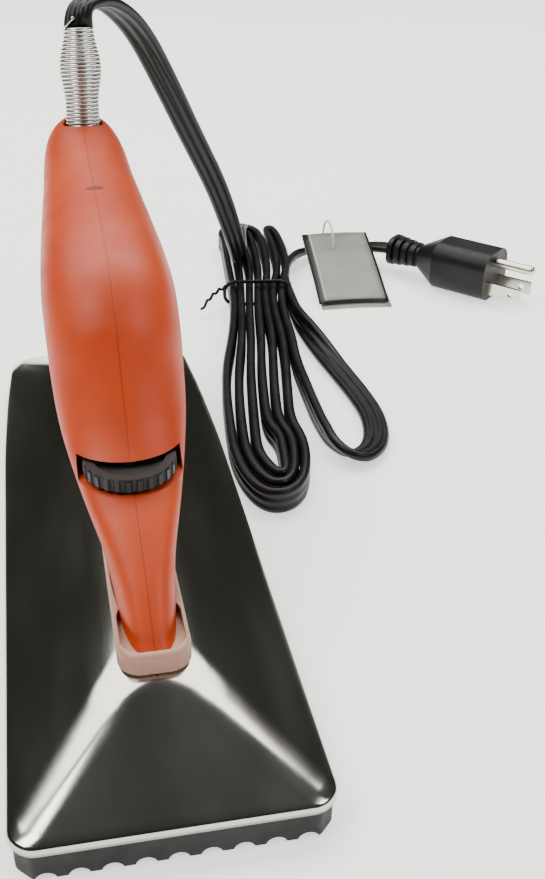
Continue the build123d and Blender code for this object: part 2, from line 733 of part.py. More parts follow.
def plug_blade(x):
    centre_y = -GROUND_OFFSET / 2 + 0.5
    strip = extrude(plug_frame(PLUG_LENGTH - 8) * (Pos(x, centre_y) * Rectangle(1.5, 6.3)), 8 + 17.5)
    hole_axis = plug_frame(PLUG_LENGTH + 12.5)
    hole = hole_axis * (Pos(x, centre_y, 0) * Rot(0, 90, 0) * Cylinder(1.6, 6))
    return strip - hole


def plug_ground_pin():
    centre_y = GROUND_OFFSET / 2 + 0.5
    start = plug_frame(PLUG_LENGTH - 8)
    pin = extrude(start * (Pos(0, centre_y) * Circle(2.38)), 8 + 20.8)
    tip = pin.edges().filter_by(GeomType.CIRCLE).sort_by(Axis(start.origin, PLUG_DIRECTION))[-1]
    return fillet(tip, 1.9)


def main():
    save("sole_plate", sole_plate())
    save("heating_element", heating_element())
    save("element_terminals", element_terminals())
    save("terminal_insulators", terminal_insulators())
    save("element_saddles", element_saddles())
    save("element_saddle_screws", element_saddle_screws())
    save("heat_shield", heat_shield())
    save("insulation_blanket", insulation_blanket())
    save("post_spacers", post_spacers())
    save("post_bolts", post_bolts())
    save("hood", hood())
    save("hood_screw", hood_screw())
    save("hood_nut_plate", hood_nut_plate())
    save("mounting_bracket", mounting_bracket())
    save("lens_collar", lens_collar())
    outer = half_loft(HANDLE_STATIONS, 0)
    inner = half_loft(HANDLE_STATIONS[:-1], WALL)
    half = handle_half(outer, inner)
    save("handle_left_shell", handle_left_shell(half))
    save("handle_right_shell", handle_right_shell(half))
    save("handle_screws", handle_screws())
    save("thermostat_frame", thermostat_frame())
    save("ceramic_stack", ceramic_stack())
    save("stack_rivet", stack_rivet())
    save("bimetal_strip", blade(12.6, 13.1, CONTACT_Y - 1.0))
    save("lower_contact_blade", blade(15.4, 15.9, CONTACT_Y - 2.6))
    save("upper_contact_blade", blade(18.8, 19.3, CONTACT_Y - 2.6))
    save("contact_rivets", contact_rivets())
    save("spindle_bush", spindle_bush())
    save("control_spindle", control_spindle())
    save("spindle_tip", spindle_tip())
    save("stop_collar", stop_collar())
    save("thumbwheel", thumbwheel())
    save("friction_washer", friction_washer())
    save("retaining_clip", retaining_clip())
    save("neon_lamp", neon_lamp())
    save("lamp_resistor", lamp_resistor())
    save("terminal_block", terminal_block())
    save("terminal_screws", terminal_screws())
    save("cord_conductors", Compound([conductor(x) for x in CONDUCTOR_X]))
    for name, x in zip(("live_lead", "earth_lead", "neutral_lead"), CONDUCTOR_X):
        save(name, stem_lead(x))
    save("cord_clamp", cord_clamp())
    save("inner_lead", inner_lead())
    save("cord_guard_spring", cord_guard_spring())
    save("cord_run", cord_tube("cord_run", CORD_RUN))
    save("cord_hank", cord_hank())
    save("cord_loop", cord_tube("cord_loop", CORD_LOOP))
    save("cord_lead", cord_tube("cord_lead", CORD_LEAD))
    save("cord_tie", cord_tie())
    save("cord_tag", cord_tag())
    save("tag_strap", tag_strap())
    save("plug_strain_relief", plug_strain_relief())
    save("plug_body", plug_body())
    save("plug_line_blade", plug_blade(-BLADE_SPACING / 2))
    save("plug_neutral_blade", plug_blade(BLADE_SPACING / 2))
    save("plug_ground_pin", plug_ground_pin())


main()
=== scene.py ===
import bpy
import bmesh
import json
import math
from mathutils import Matrix, Vector


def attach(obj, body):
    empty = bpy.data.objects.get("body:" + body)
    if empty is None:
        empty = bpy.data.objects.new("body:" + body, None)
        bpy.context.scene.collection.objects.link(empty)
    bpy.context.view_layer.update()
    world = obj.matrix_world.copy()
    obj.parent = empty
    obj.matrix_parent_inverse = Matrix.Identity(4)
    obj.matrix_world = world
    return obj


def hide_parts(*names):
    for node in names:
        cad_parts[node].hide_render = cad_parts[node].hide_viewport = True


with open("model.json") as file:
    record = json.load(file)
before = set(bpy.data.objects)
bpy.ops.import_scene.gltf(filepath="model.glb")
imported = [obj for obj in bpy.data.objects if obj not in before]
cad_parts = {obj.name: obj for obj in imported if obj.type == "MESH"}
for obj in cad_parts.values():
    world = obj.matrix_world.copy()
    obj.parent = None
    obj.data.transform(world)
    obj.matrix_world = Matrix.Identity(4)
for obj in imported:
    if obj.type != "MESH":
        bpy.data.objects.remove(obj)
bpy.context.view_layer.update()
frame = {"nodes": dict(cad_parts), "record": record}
NODES = frame["nodes"]
MM = 0.001


# --- camera -------------------------------------------------------------------------------------------

def make_camera():
    data = bpy.data.cameras.new("camera")
    data.lens = 43.0
    data.shift_x = 0.0688
    data.shift_y = 0.0063
    data.clip_start = 0.01
    turn = (Matrix.Rotation(math.radians(-9.0817), 3, "Z") @ Matrix.Rotation(math.radians(-31.697), 3, "X")
            @ Matrix.Rotation(math.radians(1.1211), 3, "Y"))
    axes = Matrix((turn.col[0], turn.col[2], -turn.col[1])).transposed()
    camera = bpy.data.objects.new("camera", data)
    camera.matrix_world = Matrix.Translation((-0.016553, -0.296926, 0.223192)) @ axes.to_4x4()
    bpy.context.collection.objects.link(camera)
    bpy.context.scene.camera = camera


# --- materials ----------------------------------------------------------------------------------------

def node_tree(name):
    made = bpy.data.materials.new(name)
    made.use_nodes = True
    tree = made.node_tree
    return made, tree, tree.nodes["Principled BSDF"]


def add(tree, kind, **values):
    node = tree.nodes.new(kind)
    for key, value in values.items():
        setattr(node, key, value)
    return node


def noise(tree, vector, scale, detail=4.0, roughness=0.55):
    node = add(tree, "ShaderNodeTexNoise")
    node.inputs["Scale"].default_value = scale
    node.inputs["Detail"].default_value = detail
    node.inputs["Roughness"].default_value = roughness
    tree.links.new(vector, node.inputs["Vector"])
    return node.outputs["Fac"]


def ramp(tree, value, stops):
    node = add(tree, "ShaderNodeValToRGB")
    while len(node.color_ramp.elements) < len(stops):
        node.color_ramp.elements.new(0.5)
    for element, (place, colour) in zip(node.color_ramp.elements, stops):
        element.position = place
        element.color = (*colour, 1)
    tree.links.new(value, node.inputs["Fac"])
    return node.outputs["Color"]


def spread(tree, value, low, high, start=0.3, end=0.7):
    node = add(tree, "ShaderNodeMapRange")
    for socket, number in zip(("From Min", "From Max", "To Min", "To Max"), (start, end, low, high)):
        node.inputs[socket].default_value = number
    tree.links.new(value, node.inputs["Value"])
    return node.outputs["Result"]


def math_node(tree, operation, first, second=None):
    node = add(tree, "ShaderNodeMath", operation=operation)
    for socket, value in zip(node.inputs, (first, second)):
        if value is None:
            continue
        if isinstance(value, (int, float)):
            socket.default_value = value
        else:
            tree.links.new(value, socket)
    return node.outputs["Value"]


def mix(tree, amount, first, second):
    node = add(tree, "ShaderNodeMix", data_type="RGBA", blend_type="MIX")
    for index, value in ((0, amount), (6, first), (7, second)):
        if isinstance(value, (int, float)):
            node.inputs[index].default_value = value
        elif isinstance(value, tuple):
            node.inputs[index].default_value = (*value, 1)
        else:
            tree.links.new(value, node.inputs[index])
    return node.outputs[2]


def coordinates(tree, stretch=(1, 1, 1)):
    place = add(tree, "ShaderNodeTexCoord")
    mapping = add(tree, "ShaderNodeMapping")
    mapping.inputs["Scale"].default_value = stretch
    tree.links.new(place.outputs["Object"], mapping.inputs["Vector"])
    return mapping.outputs["Vector"]


def bump(tree, shader, height, strength, distance=0.0002):
    node = add(tree, "ShaderNodeBump")
    node.inputs["Strength"].default_value = strength
    node.inputs["Distance"].default_value = distance
    tree.links.new(height, node.inputs["Height"])
    if shader.inputs["Normal"].links:
        tree.links.new(shader.inputs["Normal"].links[0].from_socket, node.inputs["Normal"])
    tree.links.new(node.outputs["Normal"], shader.inputs["Normal"])


def surface(name, low, high, scale=60, rough=(0.4, 0.55), metallic=0.0, grain=500, grain_strength=0.12,
            stretch=(1, 1, 1), **sockets):
    """Two tones of one colour, uneven gloss and a fine relief."""
    made, tree, shader = node_tree(name)
    place = coordinates(tree, stretch)
    cloud = noise(tree, place, scale)
    tree.links.new(ramp(tree, cloud, [(0.35, low), (0.65, high)]), shader.inputs["Base Color"])
    tree.links.new(spread(tree, noise(tree, place, scale * 3), *rough), shader.inputs["Roughness"])
    bump(tree, shader, noise(tree, place, grain, 3.0), grain_strength)
    shader.inputs["Metallic"].default_value = metallic
    for socket, value in sockets.items():
        shader.inputs[socket.replace("_", " ")].default_value = value
    return made


def rubber(name, rough, grain):
    return surface(name, (0.0022, 0.0022, 0.0022), (0.0055, 0.0055, 0.005), scale=40,
                   rough=(rough, rough + 0.14), grain=grain, grain_strength=0.18, Specular_IOR_Level=0.3)


def metal(name, low, high, rough, grain, stretch=(1, 1, 1)):
    return surface(name, low, high, scale=14, rough=rough, metallic=1.0, grain=grain, grain_strength=0.02,
                   stretch=stretch)


# --- the cord: one flat cord, from the guard's tip through the tied bundle to the plug ----------------

CORD_WIDTH = 10.5
CORD_THICKNESS = 3.9
EDGE_Z = 5.5

# x, y, z in mm and the lay: the angle of the cord's width above level
RUN = [
    (1.8, 97.5, 155.0, 0),
    (2.0, 98.5, 160.2, 0),
    (6.0, 102.6, 162.4, 3),
    (14.5, 113.2, 160.2, 8),
    (26.0, 128.5, 147.5, 25),
    (38.0, 143.0, 123.0, 44),
    (50.0, 157.0, 97.0, 58),
    (63.0, 172.0, 70.0, 58),
    (73.0, 185.0, 42.0, 58),
    (80.0, 205.0, 21.0, 50),
    (84.0, 228.0, 16.5, 40),
    (88.0, 250.0, 15.0, 50),
    (93.0, 268.0, 10.5, 70),
    (97.0, 277.0, 6.8, 85),
    (95.0, 283.0, EDGE_Z, 90),
    (91.0, 277.0, EDGE_Z, 90),
]

LOOP = [
    (100.0, 163.0, EDGE_Z, 84),
    (101.8, 142.0, 5.5, 50),
    (105.6, 112.0, 3.1, 10),
    (109.0, 84.0, 2.7, 2),
    (109.4, 63.0, 2.7, 0),
    (104.6, 44.0, 2.7, 2),
    (95.5, 34.0, 3.6, 12),
    (88.5, 38.0, 5.3, 50),
    (85.6, 50.0, EDGE_Z, 82),
    (85.4, 68.0, EDGE_Z, 90),
    (86.4, 88.0, EDGE_Z, 90),
]

LEAD = [
    (103.5, 206.0, EDGE_Z, 85),
    (109.0, 224.0, EDGE_Z, 75),
    (117.0, 240.0, 5.5, 50),
    (129.0, 247.5, 4.9, 20),
    (143.0, 245.5, 5.2, 5),
    (155.0, 236.5, 8.5, 0),
    (162.0, 228.5, 11.6, 0),
    (168.0, 221.0, 12.6, 0),
]

EDGE_Y = (9, 44, 78, 112, 145, 184, 218, 258, 291)
LEFT_X = (45, 44, 48, 54, 63, 71, 75, 79, 84)
RIGHT_X = (64, 77, 83.5, 90, 96, 102, 116, 122, 112)


def between(y, table):
    for low, high, a, b in zip(EDGE_Y, EDGE_Y[1:], table, table[1:]):
        if y <= high:
            part = (y - low) / (high - low)
            return a + (b - a) * part
    return table[-1]


def strand(lane, y):
    """A point of one of the bundle's strands, standing on edge: seven lanes at the toe, eight at the tie."""
    lanes = 7 + min(max((y - 130) / 45, 0), 1)
    left, right = between(y, LEFT_X), between(y, RIGHT_X)
    inset = CORD_THICKNESS / 2 + 0.2
    x = left + inset + (right - left - 2 * inset) * lane / (lanes - 1)
    wave = 0.3 * math.sin(y * 0.05 + lane * 1.7)
    return (x + wave, y, EDGE_Z, 90)


LONG_Y = (60, 84, 110, 136, 162, 190, 216, 242)


def lengthwise(lane, towards_toe):
    points = [strand(lane, y) for y in LONG_Y]
    return points[::-1] if towards_toe else points


def toe_fold(depth):
    """The U at the toe end of one turn; depth counts inwards from the outermost turn."""
    d = depth * 4.5
    return [
        (46.0 + d, 40, EDGE_Z, 90),
        (47.2 + d, 22 + d * 0.9, EDGE_Z, 90),
        (51.5 + d * 0.8, 10 + d * 1.3, EDGE_Z, 90),
        (59.0 + d * 0.3, 8.0 + d * 1.5, EDGE_Z, 90),
        (66.5 - d * 0.35, 14 + d * 1.5, EDGE_Z, 90),
        (71.5 - d * 0.75, 28 + d * 1.1, EDGE_Z, 90),
        (74.0 - d * 0.9, 44 + d * 0.5, EDGE_Z, 90),
    ]


def heel_fold(first, last, depth):
    """The U at the heel end, from one lane to another."""
    a, b = strand(first, 262), strand(last, 262)
    reach = 14 + depth * 6
    middle = (a[0] + b[0]) / 2
    swing = (b[0] - a[0]) / 2
    return [
        (a[0], 262, EDGE_Z, 90),
        (middle - swing * 1.0, 262 + reach * 0.55, EDGE_Z, 90),
        (middle - swing * 0.6, 262 + reach * 0.98, EDGE_Z, 90),
        (middle + swing * 0.6, 262 + reach * 1.0, EDGE_Z, 90),
        (middle + swing * 1.0, 262 + reach * 0.55, EDGE_Z, 90),
        (b[0], 262, EDGE_Z, 90),
    ]


def cord_route():
    points = list(RUN)
    points += lengthwise(2, True)
    for depth, arriving, leaving, next_lane in ((2, 2, 3, 1), (1, 1, 4, 0), (0, 0, 5, 6)):
        points += toe_fold(depth)
        points += lengthwise(leaving, False)
        points += heel_fold(leaving, next_lane, 2 - depth if next_lane < 6 else 0)
        points += lengthwise(next_lane, True)[:6 if next_lane == 6 else None]
    points += LOOP[::-1]
    points += [strand(7, 190)]
    return points + LEAD


def section():
    """Half-widths and heights round the flat cord: three ribs side by side."""
    radius = CORD_THICKNESS / 2
    reach = CORD_WIDTH / 2
    shape = []
    for index in range(36):
        angle = 2 * math.pi * index / 36
        x = reach * math.cos(angle)
        height = 0.0
        for centre in (-(reach - radius), 0.0, reach - radius):
            if abs(x - centre) < radius:
                height = max(height, math.sqrt(radius ** 2 - (x - centre) ** 2))
        if abs(x) < reach - radius:
            height = max(height, radius * 0.62)
        shape.append((x, math.copysign(height, math.sin(angle)) if abs(math.sin(angle)) > 1e-6 else 0.0))
    return shape


def spline_points(name, points):
    """Points along a smooth spline that has the given points as its control points."""
    data = bpy.data.curves.new(name, "CURVE")
    data.dimensions = "3D"
    data.resolution_u = 10
    spline = data.splines.new("NURBS")
    spline.points.add(len(points) - 1)
    for target, (x, y, z) in zip(spline.points, points):
        target.co = (x * MM, y * MM, z * MM, 1)
    spline.order_u = 3
    spline.use_endpoint_u = True
    holder = bpy.data.objects.new(name, data)
    mesh = bpy.data.meshes.new_from_object(holder)
    line = [v.co.copy() for v in mesh.vertices]
    bpy.data.objects.remove(holder)
    bpy.data.curves.remove(data)
    bpy.data.meshes.remove(mesh)
    return line


def new_object(name, verts, faces, smooth=True):
    mesh = bpy.data.meshes.new(name)
    mesh.from_pydata([tuple(v) for v in verts], [], faces)
    mesh.validate()
    for polygon in mesh.polygons:
        polygon.use_smooth = smooth
    made = bpy.data.objects.new(name, mesh)
    bpy.context.collection.objects.link(made)
    return made


def band_faces(rows, count):
    """Four-sided faces between closed rings of the same number of points."""
    faces = []
    for row in range(rows - 1):
        for column in range(count):
            after = (column + 1) % count
            faces.append((row * count + column, row * count + after,
                          (row + 1) * count + after, (row + 1) * count + column))
    return faces


def capped_faces(rows, count):
    first = tuple(range(count))[::-1]
    last = tuple(range((rows - 1) * count, rows * count))
    return band_faces(rows, count) + [first, last]


def sweep(name, line, rings):
    """A closed tube whose ring at each point of the line is a list of offsets."""
    verts = []
    for point, ring in zip(line, rings):
        verts += [point + offset for offset in ring]
    return new_object(name, verts, capped_faces(len(line), len(rings[0])))


def round_rings(line, radius, reference):
    """Eight offsets round every point of a line, for a wire swept along it."""
    rings = []
    for index in range(len(line)):
        along = (line[min(index + 1, len(line) - 1)] - line[max(index - 1, 0)]).normalized()
        level = along.cross(reference).normalized()
        upright = level.cross(along)
        rings.append([(level * math.cos(k * math.pi / 4) + upright * math.sin(k * math.pi / 4)) * radius * MM
                      for k in range(8)])
    return rings


def flat_cord():
    route = cord_route()
    line = spline_points("cord_line", [point[:3] for point in route])
    lays = [point[3] for point in route]
    steps = [0.0] + [index + 0.5 for index in range(len(route) - 2)] + [len(route) - 2]
    shape = section()
    rings = []
    for index, point in enumerate(line):
        before, after = line[max(index - 1, 0)], line[min(index + 1, len(line) - 1)]
        along = (after - before).normalized()
        level = along.cross(Vector((0, 0, 1))).normalized()
        upright = level.cross(along)
        u = index / (len(line) - 1) * (len(route) - 2)
        corner = max(k for k in range(len(steps) - 1) if steps[k] <= u + 1e-9)
        part = (u - steps[corner]) / (steps[corner + 1] - steps[corner])
        lay = math.radians(lays[corner] + (lays[corner + 1] - lays[corner]) * min(part, 1.0))
        across = level * math.cos(lay) + upright * math.sin(lay)
        face = across.cross(along)
        rings.append([(across * x + face * y) * MM for x, y in shape])
    return sweep("flat_cord", line, rings), line


def curve_length(line):
    return sum((b - a).length for a, b in zip(line, line[1:]))


make_camera()
cord, cord_line = flat_cord()
print("cord length", round(curve_length(cord_line), 4))
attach(cord, "iron")
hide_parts("cord_run", "cord_hank", "cord_loop", "cord_lead")
cord.data.materials.append(rubber("cord_black", 0.34, 900))
PLUG = ["plug_strain_relief", "plug_body", "plug_line_blade", "plug_neutral_blade", "plug_ground_pin"]
ON_CORD = [NODES[name] for name in PLUG + ["cord_tie", "tag_strap"]]


# --- the sprung guard, a helix of round wire ----------------------------------------------------------

GUARD_FOOT = Vector((0, 89.5, 113))
GUARD_TIP = Vector((1.8, 97.5, 155))
GUARD_WIRE_RADIUS = 0.68
TURNS = 33
POINTS_PER_TURN = 22


def ease(part):
    return part * part * (3 - 2 * part)


def guard_radius(t):
    """Straight at the handle, a swell two thirds of the way up, narrow at the tip."""
    straight, swell, tip = 5.5, 6.9, 4.6
    if t < 0.4:
        return straight
    if t < 0.68:
        return straight + (swell - straight) * ease((t - 0.4) / 0.28)
    return swell - (swell - tip) * ease((t - 0.68) / 0.32)


def guard_coil():
    axis = (GUARD_TIP - GUARD_FOOT).normalized()
    side = axis.cross(Vector((0, 1, 0))).normalized()
    front = axis.cross(side)
    line = []
    for index in range(TURNS * POINTS_PER_TURN + 1):
        t = index / (TURNS * POINTS_PER_TURN)
        angle = 2 * math.pi * TURNS * t
        around = side * math.cos(angle) + front * math.sin(angle)
        line.append((GUARD_FOOT.lerp(GUARD_TIP, t) + around * guard_radius(t)) * MM)
    # the loose end of the wire
    for _ in range(6):
        line.append(line[-1] + (axis * 0.5 - side * 0.5 + front * 0.25) * MM)
    made = sweep("guard_coil", line, round_rings(line, GUARD_WIRE_RADIUS, axis))
    nickel = metal("nickel_wire", (0.60, 0.59, 0.56), (0.74, 0.73, 0.70), (0.16, 0.28), 900)
    made.data.materials.append(nickel)
    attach(made, "iron")
    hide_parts("cord_guard_spring")


# --- the hood, one pressed sheet with rounded hips ----------------------------------------------------

LIP_Z = 9.5
EAVES_Z = 12.0
ROOF_Z = 30.0
SHEET = 1.1
# The +X half of each outline, toe to heel; the last point is on the middle line.
PLAN = [(36.75, -131.0), (41.25, -126.5), (41.25, 50.0), (40.05, 90.0), (38.05, 120.0), (32.75, 128.8)]
PLAN_HEEL = 131.0
ROOF = [(6.0, -97.2), (9.5, -87.9), (10.5, -20.0), (10.5, 40.0), (9.7, 70.0), (7.1, 82.0)]
ROOF_HEEL = 84.0


def rounded_outline(corners, heel, radii):
    """The closed outline with an arc at every corner, always the same number of points."""
    ring = corners + [(0.0, heel)] + [(-x, y) for x, y in reversed(corners)]
    sizes = radii + [0.5] + radii[::-1]
    points = []
    for index, (corner, size) in enumerate(zip(ring, sizes)):
        here = Vector(corner)
        before, after = Vector(ring[index - 1]), Vector(ring[(index + 1) % len(ring)])
        reach = min(size, (before - here).length * 0.48, (after - here).length * 0.48)
        start = here + (before - here).normalized() * reach
        end = here + (after - here).normalized() * reach
        for step in range(7):
            t = step / 6
            points.append(start * (1 - t) ** 2 + here * 2 * t * (1 - t) + end * t * t)
        for step in range(1, 6):
            next_size = sizes[(index + 1) % len(ring)]
            next_reach = min(next_size, (after - here).length * 0.48)
            next_start = after + (here - after).normalized() * next_reach
            points.append(end.lerp(next_start, step / 6))
    return points


def hood_profile():
    """How far in from the eaves (0) to the roof's edge (1), and how high, for every ring."""
    rise = ROOF_Z - EAVES_Z
    slope_start, slope_end, roof_inside = 0.02, 0.76, 1.14
    steps = [(0.0, LIP_Z), (0.0, EAVES_Z - 1.4), (0.0, EAVES_Z - 0.4), (0.006, EAVES_Z + 0.05),
             (slope_start, EAVES_Z + 0.5)]
    for index in range(1, 13):
        t = slope_start + (slope_end - slope_start) * index / 12
        steps.append((t, EAVES_Z + rise * t + 0.15 * math.sin(math.pi * t)))
    for index in range(1, 11):
        t = index / 10
        first, second, third = (1 - t) ** 2, 2 * t * (1 - t), t * t
        reach = first * slope_end + second + third * roof_inside
        height = first * (EAVES_Z + rise * slope_end) + (second + third) * ROOF_Z
        steps.append((reach, height))
    return steps


def pressed_hood():
    eaves = rounded_outline(PLAN, PLAN_HEEL, [3.0, 3.0, 12.0, 12.0, 5.0, 8.0])
    roof = rounded_outline(ROOF, ROOF_HEEL, [5.0, 5.0, 20.0, 20.0, 6.0, 5.0])
    profile = hood_profile()
    verts = []
    count = len(eaves)
    for reach, height in profile:
        for low, high in zip(eaves, roof):
            place = low.lerp(high, reach)
            verts.append((place.x * MM, place.y * MM, height * MM))
    faces = band_faces(len(profile), count)
    faces.append(tuple(range(len(verts) - count, len(verts))))
    made = new_object("pressed_hood", verts, faces)
    thick = made.modifiers.new("sheet", "SOLIDIFY")
    thick.thickness = SHEET * MM
    thick.offset = -1
    mirror = metal("hood_mirror", (0.46, 0.455, 0.42), (0.54, 0.535, 0.50), (0.10, 0.19), 260, (1, 0.25, 1))
    made.data.materials.append(mirror)
    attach(made, "iron")
    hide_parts("hood")


# --- the card on the lead -----------------------------------------------------------------------------

def card_leaf(name, corner, across, along, lift, material):
    """A thin bowed card: a grid with one UV square, thickened by a modifier."""
    verts, faces = [], []
    for row in range(13):
        for column in range(9):
            u, v = column / 8, row / 12
            bow = lift * math.sin(math.pi * v) + 0.5 * math.sin(math.pi * u)
            verts.append((corner + across * u + along * v + Vector((0, 0, bow))) * MM)
    for row in range(12):
        for column in range(8):
            first = row * 9 + column
            faces.append((first, first + 1, first + 10, first + 9))
    made = new_object(name, verts, faces)
    layer = made.data.uv_layers.new(name="card")
    for loop in made.data.loops:
        layer.data[loop.index].uv = (loop.vertex_index % 9 / 8, loop.vertex_index // 9 / 12)
    thick = made.modifiers.new("card", "SOLIDIFY")
    thick.thickness = 0.35 * MM
    made.data.materials.append(material)
    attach(made, "iron")
    return made


def card_material():
    """Silver-grey coated card with a printed dark border and a fine pale rule; no lettering."""
    made, tree, shader = node_tree("coated_card")
    place = add(tree, "ShaderNodeTexCoord")
    split = add(tree, "ShaderNodeSeparateXYZ")
    tree.links.new(place.outputs["UV"], split.inputs["Vector"])
    u, v = split.outputs["X"], split.outputs["Y"]
    left = math_node(tree, "LESS_THAN", u, 0.09)
    right = math_node(tree, "GREATER_THAN", u, 0.965)
    toe = math_node(tree, "LESS_THAN", v, 0.035)
    border = math_node(tree, "MAXIMUM", math_node(tree, "MAXIMUM", left, right), toe)
    inside = math_node(tree, "COMPARE", u, 0.115)
    inside.node.inputs[2].default_value = 0.008
    cloud = noise(tree, coordinates(tree), 60)
    paper = ramp(tree, cloud, [(0.3, (0.20, 0.20, 0.185)), (0.7, (0.27, 0.27, 0.25))])
    ruled = mix(tree, inside, paper, (0.45, 0.45, 0.42))
    tree.links.new(mix(tree, border, ruled, (0.012, 0.012, 0.012)), shader.inputs["Base Color"])
    tree.links.new(spread(tree, noise(tree, coordinates(tree), 300), 0.34, 0.5), shader.inputs["Roughness"])
    bump(tree, shader, noise(tree, coordinates(tree), 1400, 2.0), 0.05)
    return made


def folded_card():
    card = card_material()
    back = surface("card_back", (0.42, 0.42, 0.38), (0.52, 0.52, 0.48), rough=(0.5, 0.65), grain=1200,
                   grain_strength=0.06)
    top = card_leaf("tag_top_leaf", Vector((116.5, 180.2, 2.3)), Vector((35.8, -3.4, 0)),
                    Vector((6.0, 63.6, 13.4)), 1.0, card)
    low = card_leaf("tag_low_leaf", Vector((117.6, 177.4, 0.4)), Vector((35.6, -3.4, 0)),
                    Vector((4.9, 66.0, 14.6)), -1.2, back)
    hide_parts("cord_tag")
    return [top, low]


TIE_WIRE_RADIUS = 0.75


def tie_tail():
    """Two wires of the tie twisted together, lying out to the side of the bundle."""
    line = []
    count = 60
    for index in range(count):
        t = index / (count - 1)
        centre = Vector((70.0 - 14.0 * t, 189.0 - 5.0 * t - 2.0 * t * t, 12.2 - 8.5 * t * t))
        angle = t * 26
        line.append((centre + Vector((0, math.cos(angle), math.sin(angle))) * 0.55) * MM)
    made = sweep("tie_tail", line, round_rings(line, TIE_WIRE_RADIUS, Vector((0, 0, 1))))
    made.data.materials.append(rubber("tie_black", 0.4, 1200))
    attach(made, "iron")
    return made


ON_CORD += folded_card() + [tie_tail()]
guard_coil()
pressed_hood()


# --- a material for every CAD node --------------------------------------------------------------------

def handle_orange():
    """Moulded orange plastic: fine grain, a parting line, and painted shade of a small latch slot on the grip's
    top.
    """
    made, tree, shader = node_tree("handle_orange")
    place = coordinates(tree)
    cloud = noise(tree, place, 26)
    base = ramp(tree, cloud, [(0.35, (0.50, 0.043, 0.004)), (0.65, (0.60, 0.062, 0.007))])
    split = add(tree, "ShaderNodeSeparateXYZ")
    tree.links.new(place, split.inputs["Vector"])
    side = math_node(tree, "ABSOLUTE", split.outputs["X"])
    line = spread(tree, side, 1.0, 0.0, 0.00016, 0.00042)
    # The latch slot on the grip's top is not cut: its dark dash is painted shade, an ellipse in the darker
    # orange with a dip in the relief.
    latch_y, latch_half_width, latch_half_length, grip_top = 0.036, 0.0030, 0.0016, 0.105
    across = math_node(tree, "POWER", math_node(tree, "DIVIDE", side, latch_half_width), 2)
    shift = math_node(tree, "SUBTRACT", split.outputs["Y"], latch_y)
    along = math_node(tree, "ABSOLUTE", math_node(tree, "DIVIDE", shift, latch_half_length))
    inside = math_node(tree, "LESS_THAN", math_node(tree, "ADD", across, math_node(tree, "POWER", along, 2)), 1)
    above = math_node(tree, "GREATER_THAN", split.outputs["Z"], grip_top)
    latch_shade = math_node(tree, "MULTIPLY", inside, above)
    faint = math_node(tree, "MULTIPLY", line, 0.4)
    # dark holds the faint parting line and the painted shade of the latch slot.
    dark = math_node(tree, "MAXIMUM", faint, latch_shade)
    tree.links.new(mix(tree, dark, base, (0.20, 0.015, 0.002)), shader.inputs["Base Color"])
    tree.links.new(spread(tree, noise(tree, place, 90), 0.40, 0.54), shader.inputs["Roughness"])
    bump(tree, shader, noise(tree, place, 1500, 2.0), 0.16, 0.0001)
    bump(tree, shader, math_node(tree, "SUBTRACT", 1, dark), 0.5, 0.0003)
    shader.inputs["Specular IOR Level"].default_value = 0.42
    return made


def translucent(name, low, high, rough, transmission):
    return surface(name, low, high, rough=rough, grain=700, grain_strength=0.06,
                   Transmission_Weight=transmission, IOR=1.46)


# Low colour, high colour, roughness from and to, grain, and how far the grain is drawn out along each axis.
METALS = {
    "plated_steel": ((0.52, 0.52, 0.50), (0.64, 0.64, 0.62), (0.22, 0.36), 500, (1, 1, 1)),
    "sheet_steel": ((0.40, 0.41, 0.42), (0.52, 0.53, 0.54), (0.32, 0.48), 300, (1, 0.1, 1)),
    "zinc_hardware": ((0.55, 0.56, 0.58), (0.68, 0.68, 0.70), (0.26, 0.42), 600, (1, 1, 1)),
    "shield_sheet": ((0.60, 0.61, 0.62), (0.72, 0.73, 0.74), (0.28, 0.42), 260, (1, 0.1, 1)),
    "brass_parts": ((0.56, 0.40, 0.16), (0.70, 0.53, 0.24), (0.2, 0.34), 700, (1, 1, 1)),
    "bimetal": ((0.46, 0.38, 0.24), (0.58, 0.49, 0.33), (0.3, 0.45), 500, (1, 0.2, 1)),
    "contact_bronze": ((0.50, 0.32, 0.15), (0.62, 0.42, 0.22), (0.28, 0.42), 500, (1, 1, 1)),
    "contact_silver": ((0.70, 0.70, 0.67), (0.82, 0.82, 0.79), (0.2, 0.34), 700, (1, 1, 1)),
    "spring_nickel": ((0.60, 0.59, 0.56), (0.74, 0.73, 0.70), (0.16, 0.28), 900, (1, 1, 1)),
    "hood_polish": ((0.46, 0.455, 0.42), (0.54, 0.535, 0.50), (0.14, 0.24), 260, (1, 1, 1)),
    "blade_metal": ((0.60, 0.57, 0.48), (0.74, 0.71, 0.62), (0.18, 0.32), 400, (0.4, 0.4, 1)),
}

# Roughness and grain of the black rubbery slots.
RUBBERS = {
    "lead_black": (0.45, 1200),
    "cord_jacket": (0.36, 900),
    "tie_wire": (0.4, 1200),
    "plug_rubber": (0.40, 700),
}

